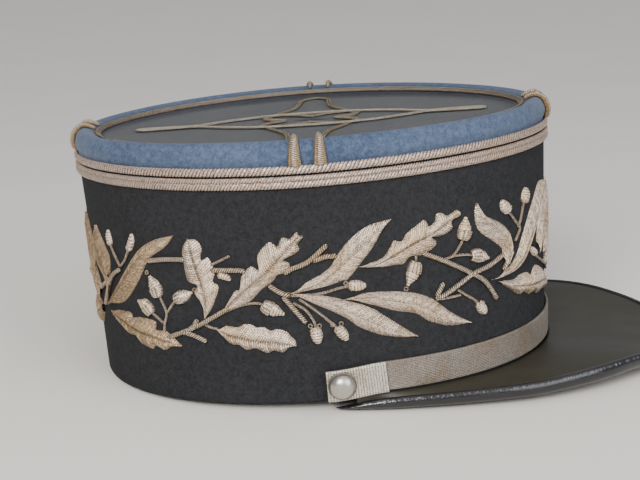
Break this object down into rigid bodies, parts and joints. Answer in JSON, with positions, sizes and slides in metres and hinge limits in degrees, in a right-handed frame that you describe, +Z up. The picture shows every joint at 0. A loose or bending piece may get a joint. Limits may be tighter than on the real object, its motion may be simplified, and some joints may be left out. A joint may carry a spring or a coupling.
{
  "type": "kepi cap",
  "caption": "Kepi with a tall oval black cloth band, light blue sunken crown with a rolled rim, silver braid and embroidery, leather peak and lace chin strap.",
  "frame": {"origin": "middle of the underside of the bounding box, on the surface the cap stands on", "axes": "+Z up; the peak points to -Y; +X is the wearer's left"},
  "size_m": [0.1834, 0.2844, 0.1201],
  "materials": {
    "black_cloth": "fine fulled wool cloth, matt",
    "blue_cloth": "fulled wool cloth, short nap, matt",
    "silver_braid": "twisted silver thread, slightly tarnished",
    "tarnished_cord": "fine metal thread cord, tarnished",
    "silver_lace": "flat woven metal lace, brown tarnish",
    "peak_leather": "smooth lacquered leather, satin, faint crazing",
    "patent_leather": "patent leather, glossy",
    "button_metal": "silvered dome, satin, worn"
  },
  "bodies": {
    "root": {"band": "black_cloth", "crown": "blue_cloth", "braid_lower": "silver_braid", "braid_middle": "silver_braid", "braid_upper": "silver_braid", "disc_ring": "tarnished_cord", "crown_knot": "tarnished_cord", "peak": "peak_leather", "peak_binding": "patent_leather", "chin_strap": "silver_lace", "strap_tab_right": "silver_lace", "strap_tab_left": "silver_lace", "button_right": "button_metal", "button_left": "button_metal", "rim_loop_front_left": "silver_braid", "rim_loop_front_right": "silver_braid", "rim_loop_rear_left": "silver_braid", "rim_loop_rear_right": "silver_braid", "rim_loop_left_front": "silver_braid", "rim_loop_left_rear": "silver_braid", "rim_loop_right_front": "silver_braid", "rim_loop_right_rear": "silver_braid"}
  },
  "joints": []
}
